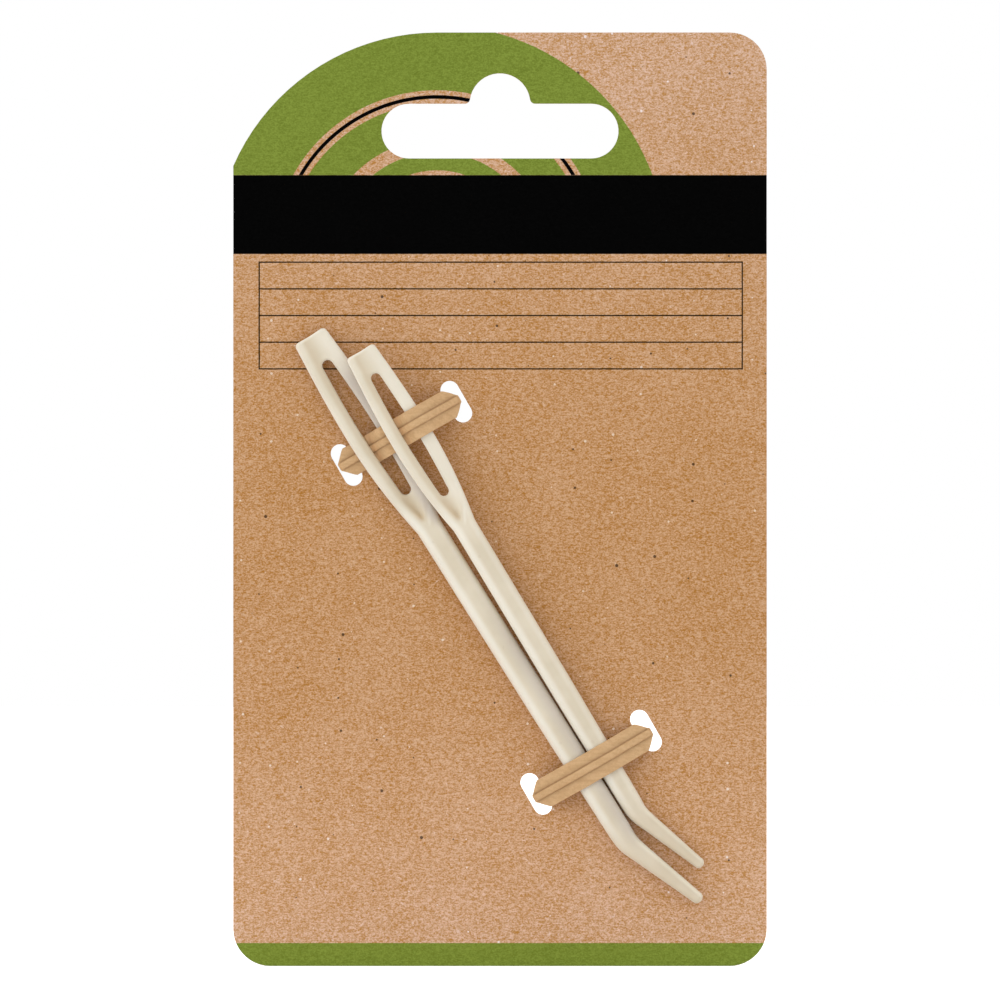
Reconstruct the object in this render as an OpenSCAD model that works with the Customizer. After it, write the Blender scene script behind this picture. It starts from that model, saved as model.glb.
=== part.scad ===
// Two plastic yarn needles with bent tips on a die-cut hang card, held by two paper twist ties.
// Millimetres. The card hangs upright: +X is its right, +Z is up and its printed front faces -Y.
// The origin is the centre of the hang slot's hump, in the middle of the card's thickness.

/* [Card] */
// Width of the card
card_w = 72; // [70:0.5:90]
// Height of the card
card_h = 126; // [120:0.5:150]
// Thickness of the board
card_t = 0.5; // [0.3:0.05:0.8]
// Radius of the three small corners
corner_r = 5; // [2:0.5:8]
// Radius of the large upper left corner
big_corner_r = 30; // [20:0.5:36]
// How far left of the middle the large corner's arc leaves the top edge
big_corner_x = 8.5; // [4.5:0.5:12]

/* [Hang slot] */
// Overall width of the hang slot
slot_w = 32; // [24:0.5:40]
// Height of the slot's straight bar
slot_h = 7.4; // [5:0.1:9]
// Radius of the hump that the peg rests in
hump_r = 4.1; // [3:0.1:4.6]
// Radius of the fillets beside the hump
hump_fillet_r = 0.7; // [0.3:0.1:1.2]
// Distance from the hump's centre up to the card's top edge
slot_drop = 9.6; // [8:0.1:14]

/* [Tie slots] */
// Distance between the two slots of one tie
tie_span = 17.1; // [16:0.1:20]
// Width of each tie slot, along the tie
tie_slot_w = 2.5; // [2.2:0.1:3]
// Length of each tie slot, across the tie
tie_slot_len = 6.1; // [5:0.1:8]
// Angle of the ties above the horizontal
tie_angle = 30; // [28:0.5:32]
// Middle of the upper tie, right of the card's middle
upper_tie_x = -13.3; // [-15:0.1:-11]
// Middle of the upper tie, below the hump's centre
upper_tie_drop = 44.5; // [43:0.1:48]
// Middle of the lower tie, right of the card's middle
lower_tie_x = 12.3; // [11.9:0.1:12.8]
// Middle of the lower tie, below the hump's centre
lower_tie_drop = 88.9; // [88.4:0.1:89.8]
// How far the upper tie sits above the middle of its slots
upper_tie_shift = 0.15; // [-0.3:0.05:0.3]
// How far the lower tie sits above the middle of its slots, below it where negative
lower_tie_shift = -0.45; // [-0.6:0.05:0.3]

/* [Twist ties] */
// Full width of the flattened paper sleeve
tie_w = 4.1; // [3:0.1:5]
// Thickness of the paper wings
wing_t = 0.2; // [0.12:0.02:0.26]
// Width of the ridge over the wire
ridge_w = 1.1; // [0.9:0.05:1.3]
// Thickness of the tie at its ridge
ridge_t = 0.56; // [0.54:0.02:0.6]
// Diameter of the steel wire
wire_d = 0.4; // [0.3:0.02:0.42]
// Gap round the wire inside the sleeve
wire_gap = 0.02; // [0.01:0.005:0.03]
// Width of each paper wing left where the tie dives through a slot
slot_wing_w = 0.08; // [0.06:0.02:0.3]
// Width of the paper where it is gathered and twisted
gathered_w = 1.9; // [1.5:0.1:2.2]
// Radius of the tie's sharp bends, at its middle
tie_bend_r = 0.5; // [0.45:0.01:0.55]
// Angle at which a tie climbs through a needle's eye
climb_angle = 75; // [70:1:78]
// Full turns of the twisted tail
tail_turns = 2.5; // [1:0.5:3.5]
// Length of the twisted tail
tail_len = 11; // [8:0.5:14]
// Radius of the bend that lays the tail against the card's back
tail_bend_r = 1.6; // [1.4:0.1:2]
// Angle of that bend
tail_bend_angle = 96; // [90:1:97]

/* [Needle head] */
// Width of the head at its blunt end
head_w = 4.7; // [4:0.1:5]
// Greatest width of the head, beside the eye
eye_body_w = 6.3; // [6:0.1:6.5]
// Distance from the blunt end to the widest place
widest_x = 16; // [12:0.5:18]
// Distance from the blunt end to the end of the neck
neck_x = 30.5; // [29:0.5:34]
// Thickness of the two bars beside the eye
bar_t = 1.4; // [1.2:0.05:1.5]
// Wall between the blunt end and the eye
eye_wall = 4.05; // [3:0.05:5]
// Length of the eye
eye_len = 21.15; // [20:0.05:22]
// Greatest width of the eye
eye_w = 2.2; // [2.1:0.05:2.5]
// Width of the eye near its ends
eye_end_w = 1.5; // [1.3:0.05:1.7]
// Radius of the eye's corners
eye_corner_r = 0.65; // [0.4:0.05:0.65]
// Radius of the rounded rim of the eye
eye_rim_r = 0.3; // [0.15:0.05:0.35]
// Depth of the trough along the head
trough_depth = 0.25; // [0.1:0.05:0.35]
// Depth of the thread groove below the eye
groove_depth = 0.5; // [0.2:0.05:0.6]
// Length of the thread groove below the eye
groove_len = 4.6; // [3:0.1:6]

/* [Needle shaft and tip] */
// Length of the large needle along its middle line
needle_len = 93.4; // [92.5:0.1:94]
// Width of the shaft
shaft_w = 3.55; // [3.2:0.05:3.6]
// Thickness of the shaft
shaft_t = 2.6; // [2.2:0.05:2.65]
// Width of the shaft where the bend starts
bend_w = 3.15; // [2.8:0.05:3.2]
// Width of the needle just past the bend
bend_end_w = 2.7; // [2.4:0.05:2.75]
// Width of the tip just behind its rounded end
tip_w = 1.5; // [1.3:0.05:1.9]
// Thickness of the tip just behind its rounded end
tip_t = 1.2; // [1:0.05:1.3]
// Distance from the blunt end to the corner of the bend
bend_x = 80.8; // [80:0.1:82]
// Angle of the bent tip
bend_angle = 20; // [18:0.5:21]
// Radius of the bend
bend_r = 6; // [4:0.5:10]
// Size of the small needle as a share of the large one
small_share = 0.9; // [0.88:0.01:0.91]

/* [Needles on the card] */
// Angle of the large needle below the horizontal
large_angle = 57.9; // [57.8:0.1:58]
// Angle of the small needle below the horizontal
small_angle = 59; // [58.9:0.05:59.4]
// Where the large needle crosses the upper tie, from the tie's middle
large_cross = -3.55; // [-3.8:0.05:-3.5]
// Where the small needle crosses the upper tie, from the tie's middle
small_cross = 0.9; // [0.85:0.05:1.05]
// Distance from the large needle's blunt end to the upper tie
large_tie_at = 17.65; // [17:0.05:18.4]
// Distance from the small needle's blunt end to the upper tie
small_tie_at = 12.4; // [12:0.1:13]
// Gap between a tie and the card
tie_gap = 0.05; // [0.03:0.01:0.1]
// Gap between a tie and a needle
needle_gap = 0.1; // [0.08:0.01:0.14]
// Slope of the small needle, which lies on top at its head and near the card at its tip
small_slope = 2.15; // [2.1:0.05:2.2]

/* [Hidden] */
$fn = 64;

// Heights are measured outwards from the middle of the board.
front = card_t / 2;
ridge_h = ridge_t / 2;
low_tie_z = front + tie_gap + ridge_h;
large_z = low_tie_z + ridge_h + needle_gap + bar_t / 2;
mid_tie_z = large_z + bar_t / 2 + needle_gap + ridge_h;
small_z = mid_tie_z + ridge_h + needle_gap + bar_t * small_share / 2;
top_tie_z = small_z + bar_t * small_share / 2 + needle_gap + ridge_h;
back_tie_z = -low_tie_z;

function ease(t) = let (c = min(max(t, 0), 1)) c * c * (3 - 2 * c);
function mix(a, b, t) = a + (b - a) * t;
function heading(a) = [cos(a), sin(a)];

// The card
card_top = slot_drop;
card_left = -card_w / 2;
edge_over = 1;

module rounded_card() {
    for (x = [0, 1])
        translate([card_left + corner_r * x, card_top - card_h + corner_r * (1 - x)])
            square([card_w - 2 * corner_r * x, card_h - 2 * corner_r * (1 - x)]);
    for (x = [-1, 1], y = [corner_r - card_h, -corner_r])
        translate([x * (card_w / 2 - corner_r), card_top + y])
            circle(r = corner_r);
}

// What the large corner takes off the sheet
module big_corner_waste() {
    difference() {
        translate([card_left - edge_over, card_top - big_corner_r])
            square([card_w / 2 - big_corner_x + edge_over, big_corner_r + edge_over]);
        translate([-big_corner_x, card_top - big_corner_r])
            circle(r = big_corner_r);
    }
}

module stadium(length, width) {
    square([length - width, width], center = true);
    for (x = [-1, 1])
        translate([x * (length - width) / 2, 0])
            circle(d = width);
}

// Fillet between the slot's bar, below the hump's centre, and the hump's round wall
module hump_fillet() {
    reach = sqrt(pow(hump_r + hump_fillet_r, 2) - pow(hump_fillet_r, 2));
    difference() {
        polygon([[0, 0], [reach, 0], [reach, hump_fillet_r]]);
        translate([reach, hump_fillet_r])
            circle(r = hump_fillet_r);
    }
}

module hang_slot() {
    translate([0, -slot_h / 2])
        stadium(slot_w, slot_h);
    circle(r = hump_r);
    for (m = [0, 1])
        mirror([m, 0])
            hump_fillet();
}

module tie_slots(x, drop) {
    translate([x, -drop])
        rotate(tie_angle)
            for (side = [-1, 1])
                translate([side * tie_span / 2, 0])
                    rotate(90)
                        stadium(tie_slot_len, tie_slot_w);
}

// Stands a piece up from the card's own plane
module upright() {
    rotate([90, 0, 0])
        children();
}

module backing_card() {
    color("burlywood")
        upright()
            linear_extrude(card_t, center = true)
                difference() {
                    rounded_card();
                    big_corner_waste();
                    hang_slot();
                    tie_slots(upper_tie_x, upper_tie_drop);
                    tie_slots(lower_tie_x, lower_tie_drop);
                }
}

// The ties. A frame on a tie's path is [middle, normal, side, half width of the paper].
slot_pass = tie_span / 2 + 0.35;
taper_len = 1.5;
strand_gap = 0.08;
strand_r = ridge_h + strand_gap / 2;
tail_root_z = back_tie_z - tie_bend_r;
bend_steps = 3;
tail_steps = ceil(tail_turns * 8);
ridge_flat = 0.4;

// Each corner of a path in the tie's own upright plane, as points and headings on its arc
function corner(a, b, c, r) =
    let (
        into = atan2(b.y - a.y, b.x - a.x),
        out = atan2(c.y - b.y, c.x - b.x),
        turn = (out - into + 540) % 360 - 180,
        start = b - heading(into) * r * tan(abs(turn) / 2),
        way = sign(turn),
        centre = start + heading(into + 90 * way) * r
    )
    [for (i = [0 : bend_steps])
        let (at = into + turn * i / bend_steps)
        [centre - heading(at + 90 * way) * r, at]];

function bent_path(points, r) = concat(
    [for (i = [1 : len(points) - 2]) each corner(points[i - 1], points[i], points[i + 1], r)]
);

// The wings fold in on a slant before the tie dives into a slot, and gather behind the card.
function paper_half(x, z) =
    let (
        narrow = ridge_w / 2 + slot_wing_w,
        fold = (abs(x) - slot_pass + taper_len) / (taper_len - tie_bend_r / 2),
        spread = (slot_pass - abs(x)) / (slot_pass - strand_r)
    )
    z < front
        ? mix(narrow, gathered_w / 2, min(max(spread, 0), 1))
        : mix(tie_w / 2, narrow, min(max(fold, 0), 1));

function flat_frame(point, at) = [
    [point.x, 0, point.y],
    [-sin(at), 0, cos(at)],
    [0, 1, 0],
    paper_half(point.x, point.y)
];

// Extra frames where the paper's width changes on a straight stretch
function taper_frames(a, b, side) =
    [for (i = [0 : 2])
        let (x = side * (slot_pass - taper_len + i * (taper_len - tie_bend_r) / 2),
             t = (x - a.x) / (b.x - a.x))
        if (t > 0 && t < 1) [mix(a, b, t), atan2(b.y - a.y, b.x - a.x)]];

function tail_frame(share, strand, way) =
    let (
        run = tail_len * share,
        arc = min(run / tail_bend_r * 180 / PI, tail_bend_angle),
        rest = max(run - tail_bend_r * tail_bend_angle * PI / 180, 0),
        across = tail_bend_r * (1 - cos(arc)) + rest * sin(arc),
        down = tail_bend_r * sin(arc) + rest * cos(arc),
        middle = [0, way * across, tail_root_z - down],
        spin = 360 * tail_turns * share,
        lift = [0, cos(arc), way * sin(arc)],
        normal = [cos(spin), 0, 0] + lift * sin(spin),
        side = [-sin(spin), 0, 0] + lift * cos(spin)
    )
    [middle + normal * strand_r * strand, normal * strand, side, gathered_w / 2];

function tail(strand, way) = [for (i = [1 : tail_steps]) tail_frame(i / tail_steps, strand, way)];

function reversed(list) = [for (i = [len(list) - 1 : -1 : 0]) list[i]];

// The whole run: twisted tail, card's back, slot, over the needles, slot, card's back, tail
function tie_frames(over, way) =
    let (
        points = concat(
            [[-strand_r, tail_root_z - tie_bend_r], [-strand_r, back_tie_z],
             [-slot_pass, back_tie_z]],
            over,
            [[slot_pass, back_tie_z], [strand_r, back_tie_z],
             [strand_r, tail_root_z - tie_bend_r]]
        ),
        arcs = bent_path(points, tie_bend_r),
        first = over[0],
        last = over[len(over) - 1],
        split = 3 * (bend_steps + 1),
        end = len(arcs) - split,
        left_taper = taper_frames(over[1], first, -1),
        right_taper = taper_frames(over[len(over) - 2], last, 1),
        run = concat(
            [for (i = [0 : split - 1]) arcs[i]],
            [for (f = reversed(left_taper)) [f[0], f[1] + 180]],
            [for (i = [split : end - 1]) arcs[i]],
            right_taper,
            [for (i = [end : len(arcs) - 1]) arcs[i]]
        )
    )
    concat(
        reversed(tail(-1, way)),
        [for (f = run) flat_frame(f[0], f[1])],
        tail(1, way)
    );

climb_run = (mid_tie_z - low_tie_z) / tan(climb_angle) / 2;
small_climb_run = (top_tie_z - mid_tie_z) / tan(climb_angle) / 2;
small_bar_edge = small_cross + eye_body_w * small_share / 2;
upper_over = [
    [-slot_pass, low_tie_z],
    [large_cross - climb_run, low_tie_z],
    [large_cross + climb_run, mid_tie_z],
    [small_cross - small_climb_run, mid_tie_z],
    [small_cross + small_climb_run, top_tie_z],
    [small_bar_edge + 0.1, top_tie_z],
    [slot_pass, low_tie_z]
];
upper_frames = tie_frames(upper_over, -1);

// The lower tie lies over both shafts.
shaft_top_z = large_z + shaft_t / 2;
over_shaft_z = shaft_top_z + needle_gap + ridge_h;
shaft_reach = shaft_w * 0.75;
lower_over = [
    [-slot_pass, low_tie_z],
    [-shaft_reach, over_shaft_z],
    [shaft_reach, over_shaft_z],
    [slot_pass, low_tie_z]
];
lower_frames = tie_frames(lower_over, -1);

// Section of the paper sleeve across its path, as [side, normal] points
function sleeve_section(half) =
    let (g = ridge_flat / 2, r = ridge_w / 2, t = wing_t / 2, h = ridge_h, w = half)
    [[g, h], [-g, h], [-r, t], [-w, t], [-w, -t], [-r, -t],
     [-g, -h], [g, -h], [r, -t], [w, -t], [w, t], [r, t]];

function hexagon(r) = [for (k = [1 : 6]) [cos(60 * k), sin(60 * k)] * r];

function placed(frame, section) = [for (p = section) frame[0] + frame[2] * p.x + frame[1] * p.y];

// Triangles between two rings of n points; the diagonal keeps a twisted wall slightly hollow.
function wall(from, n, stride, outward) = [
    for (j = [0 : n - 1])
        let (a = from + j, b = from + (j + 1) % n)
        each (outward
            ? [[a, a + stride, b], [b, a + stride, b + stride]]
            : [[a, b, a + stride], [b, b + stride, a + stride]])
];

outer_n = 12;
inner_n = 6;
// The tunnel point that each outer edge meets on the cut end, and the outer point for each tunnel edge
edge_meets = [0, 1, 2, 2, 2, 3, 3, 4, 5, 5, 5, 0];
tunnel_meets = [1, 2, 5, 7, 8, 11];

function cut_end(from, flip) =
    let (tris = concat(
        [for (j = [0 : outer_n - 1])
            [from + outer_n + edge_meets[j], from + j, from + (j + 1) % outer_n]],
        [for (k = [0 : inner_n - 1])
            [from + outer_n + k, from + tunnel_meets[k], from + outer_n + (k + 1) % inner_n]]
    ))
    [for (t = tris) flip ? [t[2], t[1], t[0]] : t];

module sleeve(frames) {
    tunnel = hexagon(wire_d / 2 + wire_gap);
    stride = outer_n + inner_n;
    points = [for (f = frames) each placed(f, concat(sleeve_section(f[3]), tunnel))];
    faces = concat(
        [for (i = [0 : len(frames) - 2]) each concat(
            wall(i * stride, outer_n, stride, true),
            wall(i * stride + outer_n, inner_n, stride, false)
        )],
        cut_end(0, false),
        cut_end((len(frames) - 1) * stride, true)
    );
    polyhedron(points, faces);
}

module wire(frames) {
    points = [for (f = frames) each placed(f, hexagon(wire_d / 2))];
    last = (len(frames) - 1) * inner_n;
    faces = concat(
        [for (i = [0 : len(frames) - 2]) each wall(i * inner_n, inner_n, inner_n, true)],
        [[for (k = [0 : inner_n - 1]) k]],
        [[for (k = [inner_n - 1 : -1 : 0]) last + k]]
    );
    polyhedron(points, faces);
}

module at_tie(x, drop, shift) {
    upright()
        translate([x, -drop, 0])
            rotate([0, 0, tie_angle])
                translate([0, shift, 0])
                    children();
}

module upper_tie_paper() {
    color("tan") at_tie(upper_tie_x, upper_tie_drop, upper_tie_shift) sleeve(upper_frames);
}

module upper_tie_wire() {
    color("silver") at_tie(upper_tie_x, upper_tie_drop, upper_tie_shift) wire(upper_frames);
}

module lower_tie_paper() {
    color("tan") at_tie(lower_tie_x, lower_tie_drop, lower_tie_shift) sleeve(lower_frames);
}

module lower_tie_wire() {
    color("silver") at_tie(lower_tie_x, lower_tie_drop, lower_tie_shift) wire(lower_frames);
}

// The needle, from its blunt end at the origin along +X, its tip bent towards +Y
eye_end = eye_wall + eye_len;
head_round = 0.4;
tip_round = tip_w * 0.45;
bend_start = bend_x - bend_r * tan(bend_angle / 2);
bend_run = bend_r * bend_angle * PI / 180;
tip_thin_from = bend_x - 6;

function head_half(x) =
    x < widest_x
        ? mix(head_w, eye_body_w, sin(90 * x / widest_x)) / 2
        : mix(eye_body_w, shaft_w, pow((x - widest_x) / (neck_x - widest_x), 1.9)) / 2;

function shaft_half(x) = lookup(x, [
    [neck_x, shaft_w / 2],
    [bend_x - 21, shaft_w / 2],
    [bend_start, bend_w / 2],
    [bend_start + bend_run, bend_end_w / 2],
    [needle_len, tip_w / 2]
]);

// How much of the section is left where the two ends round off
function end_inset(x) =
    let (d = max(head_round - x, 0)) head_round - sqrt(pow(head_round, 2) - d * d);

function end_share(x) =
    let (d = max(x - needle_len + tip_round, 0) / tip_round) sqrt(max(1 - d * d, 0.0225));

function half_width(x) =
    ((x < neck_x ? head_half(x) : shaft_half(x)) - end_inset(x)) * end_share(x);

function half_depth(x) =
    (mix(mix(bar_t, shaft_t, ease((x - eye_end) / 10)), tip_t,
        ease((x - tip_thin_from) / (needle_len - tip_thin_from))) / 2 - end_inset(x) / 2)
        * end_share(x);

function edge_round(x) = min(half_depth(x) * 0.86, half_width(x) * 0.62);

// The trough narrows below the eye into the thread groove.
function trough_half(x) =
    x < eye_end
        ? half_width(x) - 0.75
        : mix(half_width(eye_end) - 0.75, 0.3, ease((x - eye_end) / groove_len));

function trough_at(x) =
    x < eye_end - 4
        ? trough_depth
        : mix(trough_depth, groove_depth, ease((x - eye_end + 4) / 4))
            * (1 - ease((x - eye_end - groove_len * 0.3) / (groove_len * 0.7)));

function trough(x, y) =
    abs(y) < trough_half(x) ? trough_at(x) * pow(cos(90 * y / trough_half(x)), 2) : 0;

face_n = 7;
arc_n = 3;

// One quarter round and one troughed face, then the same again underneath
function needle_section(x) =
    let (
        w = half_width(x),
        h = half_depth(x),
        r = edge_round(x),
        flat = w - r,
        top = concat(
            [for (i = [0 : arc_n])
                let (a = 90 * i / arc_n) [flat + r * cos(a), h - r + r * sin(a)]],
            [for (i = [1 : face_n])
                let (y = flat * (1 - 2 * i / (face_n + 1))) [y, h - trough(x, y)]],
            [for (i = [0 : arc_n])
                let (a = 90 + 90 * i / arc_n) [r * cos(a) - flat, h - r + r * sin(a)]]
        )
    )
    concat(top, [for (p = top) -p]);

// Place on the middle line after a run from the blunt end, as [x, y, heading]
function along(run) =
    let (
        turn = min(max(run - bend_start, 0) / bend_run, 1) * bend_angle,
        rest = max(run - bend_start - bend_run, 0),
        before = min(run, bend_start)
    )
    [before + bend_r * sin(turn) + rest * cos(turn),
     bend_r * (1 - cos(turn)) + rest * sin(turn), turn];

function spaced(a, b, n) = [for (i = [0 : n - 1]) mix(a, b, i / n)];

needle_runs = concat(
    [0, 0.06, 0.2],
    spaced(head_round, eye_end - 4, 8),
    spaced(eye_end - 4, neck_x, 10),
    spaced(neck_x, eye_end + 10, 3),
    spaced(eye_end + 10, bend_start, 5),
    spaced(bend_start, bend_start + bend_run, 4),
    spaced(bend_start + bend_run, needle_len - tip_round, 5),
    [for (a = [0 : 15 : 75]) needle_len - tip_round * (1 - sin(a))],
    [needle_len]
);

module needle_body() {
    rings = [for (run = needle_runs)
        let (at = along(run))
        [for (p = needle_section(run))
            [at.x - p.x * sin(at.z), at.y + p.x * cos(at.z), p.y]]];
    n = len(rings[0]);
    last = (len(rings) - 1) * n;
    polyhedron(
        [for (ring = rings) each ring],
        concat(
            [for (i = [0 : len(rings) - 2]) each wall(i * n, n, n, true)],
            [[for (k = [0 : n - 1]) k]],
            [[for (k = [n - 1 : -1 : 0]) last + k]]
        )
    );
}

// Outline of the eye, grown evenly by some amount for its rounded rim
eye_side_n = 9;
eye_corner_n = 4;
function eye_half(x) = mix(eye_end_w, eye_w, sin(180 * (x - eye_wall) / eye_len)) / 2;

function eye_outline(grow) =
    let (
        r = eye_corner_r,
        near = eye_wall + r,
        far = eye_end - r,
        side = [for (i = [0 : eye_side_n])
            let (x = mix(near, far, i / eye_side_n)) [x, -eye_half(x) - grow]],
        far_round = [for (i = [1 : eye_corner_n])
            let (a = 90 * i / eye_corner_n - 90)
            [far, r - eye_half(far)] + heading(a) * (r + grow)],
        near_round = [for (i = [0 : eye_corner_n - 1])
            let (a = 180 + 90 * i / eye_corner_n)
            [near, r - eye_half(near)] + heading(a) * (r + grow)],
        lower = concat(near_round, side, far_round)
    )
    concat(lower, [for (p = reversed(lower)) [p.x, -p.y]]);

rim_from = bar_t / 2 - trough_depth / 2 - eye_rim_r;
rim_steps = [0, 45, 90];

module eye_cutter() {
    half = [for (a = rim_steps)
        [rim_from + eye_rim_r * sin(a), eye_rim_r * (1 - cos(a))]];
    above = concat(half, [[bar_t, eye_rim_r + 0.5]]);
    levels = concat([for (l = reversed(above)) [-l[0], l[1]]], above);
    rings = [for (l = levels) [for (p = eye_outline(l[1])) [p.x, p.y, l[0]]]];
    n = len(rings[0]);
    last = (len(rings) - 1) * n;
    polyhedron(
        [for (ring = rings) each ring],
        concat(
            [for (i = [0 : len(rings) - 2]) each wall(i * n, n, n, true)],
            [[for (k = [0 : n - 1]) k]],
            [[for (k = [n - 1 : -1 : 0]) last + k]]
        )
    );
}

module needle() {
    difference() {
        needle_body();
        eye_cutter();
    }
}

// Sets a needle on the card by the place where the upper tie crosses it
module on_card(cross, z, angle, slope, tie_at) {
    upright()
        translate([
            upper_tie_x + cross * cos(tie_angle),
            -upper_tie_drop + cross * sin(tie_angle),
            z
        ])
            rotate([0, 0, -angle])
                rotate([0, slope, 0])
                    translate([-tie_at, 0, 0])
                        children();
}

module large_needle() {
    color("ivory")
        on_card(large_cross, large_z, large_angle, 0, large_tie_at)
            needle();
}

module small_needle() {
    color("ivory")
        on_card(small_cross, small_z, small_angle, small_slope, small_tie_at)
            scale(small_share)
                needle();
}

backing_card();
upper_tie_paper();
upper_tie_wire();
lower_tie_paper();
lower_tie_wire();
large_needle();
small_needle();
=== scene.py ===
"""Looks of two bent-tip yarn needles on a printed kraft hang card, held by two twist ties."""
import math

import bmesh
import bpy
import numpy as np
from mathutils import Matrix, Vector


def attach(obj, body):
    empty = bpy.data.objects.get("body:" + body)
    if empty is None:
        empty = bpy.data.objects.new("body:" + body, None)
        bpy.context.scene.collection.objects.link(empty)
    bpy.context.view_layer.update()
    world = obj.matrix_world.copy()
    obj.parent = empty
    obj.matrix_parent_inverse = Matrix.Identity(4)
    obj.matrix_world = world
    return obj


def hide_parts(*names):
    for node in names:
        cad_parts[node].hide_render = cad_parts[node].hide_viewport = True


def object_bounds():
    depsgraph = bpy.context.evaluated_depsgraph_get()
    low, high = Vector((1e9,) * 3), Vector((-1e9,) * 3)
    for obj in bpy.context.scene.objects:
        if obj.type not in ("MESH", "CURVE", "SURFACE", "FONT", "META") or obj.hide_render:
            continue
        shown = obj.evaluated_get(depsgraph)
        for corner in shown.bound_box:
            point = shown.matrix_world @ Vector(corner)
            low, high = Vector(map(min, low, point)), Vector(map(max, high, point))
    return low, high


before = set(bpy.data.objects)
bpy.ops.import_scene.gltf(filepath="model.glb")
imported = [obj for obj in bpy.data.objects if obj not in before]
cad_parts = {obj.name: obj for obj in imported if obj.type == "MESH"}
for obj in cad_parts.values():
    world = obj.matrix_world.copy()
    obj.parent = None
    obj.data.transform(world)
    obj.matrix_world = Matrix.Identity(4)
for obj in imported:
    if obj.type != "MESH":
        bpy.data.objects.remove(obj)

MM = 0.001
CAD_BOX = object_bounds()


def mix(a, b, t):
    return a + (b - a) * t


def ease(t):
    """From 0 to 1 while t does, slow at both ends."""
    t = np.clip(t, 0.0, 1.0)
    return t * t * (3 - 2 * t)


def rise(x, start, length):
    """0 up to the start, 1 once x is past it by the length."""
    return ease((x - start) / length)


def fade(x, start, length):
    """1 up to the start, 0 once x is past it by the length."""
    return 1 - rise(x, start, length)


def ramp(x, low, high):
    """0 below low, 1 above high, straight between them."""
    return np.clip((x - low) / (high - low), 0, 1)


def srgb(r, g, b):
    """A colour as read on a screen, 0 to 255, as the linear value that shaders take."""
    def linear(v):
        v /= 255
        return v / 12.92 if v <= 0.04045 else ((v + 0.055) / 1.055) ** 2.4
    return (linear(r), linear(g), linear(b), 1.0)


# Sizes in millimetres, as the solids have them, apart from those said to be the scene's own

# The card
CARD_T = 0.5
CARD_TOP = 9.6
BIG_CORNER_R = 30.0
BIG_CORNER_X = -8.5
BIG_CORNER_Z = CARD_TOP - BIG_CORNER_R

# The twist ties
TIE_SPAN = 17.1
TIE_ANGLE = 30.0
UPPER_TIE = (-13.3, -44.5)
LOWER_TIE = (12.3, -88.9)
UPPER_TIE_SHIFT = 0.15
LOWER_TIE_SHIFT = -0.45
TIE_W = 4.1
WING_T = 0.2
RIDGE_W = 1.1
RIDGE_T = 0.56
WIRE_D = 0.4
WIRE_GAP = 0.02
SLOT_WING_W = 0.08
GATHERED_W = 1.9
TIE_BEND_R = 0.5
TAIL_TURNS = 2.5
TAIL_LEN = 11.0
TAIL_BEND_R = 1.6
TAIL_BEND_ANGLE = 96.0

# The scene's own: softer bends, gentler climbs, slimmer tails and a longer reach on the left
TIE_SOFT_R = 0.8
CLIMB_ANGLE = 54.0
TAIL_W = 1.74
UPPER_LEFT_REACH = 0.4

# The needle, from its blunt end
HEAD_W = 4.7
EYE_BODY_W = 6.3
WIDEST_X = 16.0
NECK_X = 30.5
BAR_T = 1.4
EYE_WALL = 4.05
EYE_LEN = 21.15
EYE_END = EYE_WALL + EYE_LEN
EYE_W = 2.2
EYE_END_W = 1.5
RIM_R = 0.3
TROUGH = 0.25
GROOVE = 0.5
GROOVE_LEN = 4.6
NEEDLE_LEN = 93.4
SHAFT_W = 3.55
SHAFT_T = 2.6
BEND_W = 3.15
BEND_END_W = 2.7
TIP_W = 1.5
TIP_T = 1.2
BEND_X = 80.8
BEND_ANGLE = 20.0
BEND_R = 6.0
SMALL_SHARE = 0.9

# The scene's own: how round and how hollow the blunt end is, and the moulding's parting line
HEAD_ROUND = 0.65
HEAD_FACE_ROUND = 0.4
HEAD_HOLLOW = 0.13
HOLLOW_REACH = 2.0
SEAM = 0.02

# Heights above the middle of the board
TIE_GAP = 0.05
NEEDLE_GAP = 0.1
FRONT = CARD_T / 2
RIDGE_H = RIDGE_T / 2
LOW_TIE_Z = FRONT + TIE_GAP + RIDGE_H
LARGE_Z = LOW_TIE_Z + RIDGE_H + NEEDLE_GAP + BAR_T / 2
MID_TIE_Z = LARGE_Z + BAR_T / 2 + NEEDLE_GAP + RIDGE_H
SMALL_Z = MID_TIE_Z + RIDGE_H + NEEDLE_GAP + BAR_T * SMALL_SHARE / 2
TOP_TIE_Z = SMALL_Z + BAR_T * SMALL_SHARE / 2 + NEEDLE_GAP + RIDGE_H

# Each needle: where it crosses the upper tie, height, angle, slope, distance of its end, scale
NEEDLES = {
    "large_needle": (-3.55, LARGE_Z, 57.9, 0.0, 17.65, 1.0),
    "small_needle": (0.9, SMALL_Z, 59.0, 2.15, 12.4, SMALL_SHARE),
}

# The card stands in the plane X, Z, and its front faces -Y.
UPRIGHT = Matrix.Rotation(math.radians(90), 4, "X")

# Points closer than this, in metres, are joined, and folds over these angles stay sharp.
WELD = 2e-7
NEEDLE_SHARP = 50
TIE_SHARP = 40


def in_metres(points, place):
    """Points in millimetres, moved to their place on the card and stood up."""
    whole = Matrix.Scale(MM, 4) @ UPRIGHT @ place
    turn = np.array(whole.to_3x3())
    return np.asarray(points) @ turn.T + np.array(whole.translation)


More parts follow.
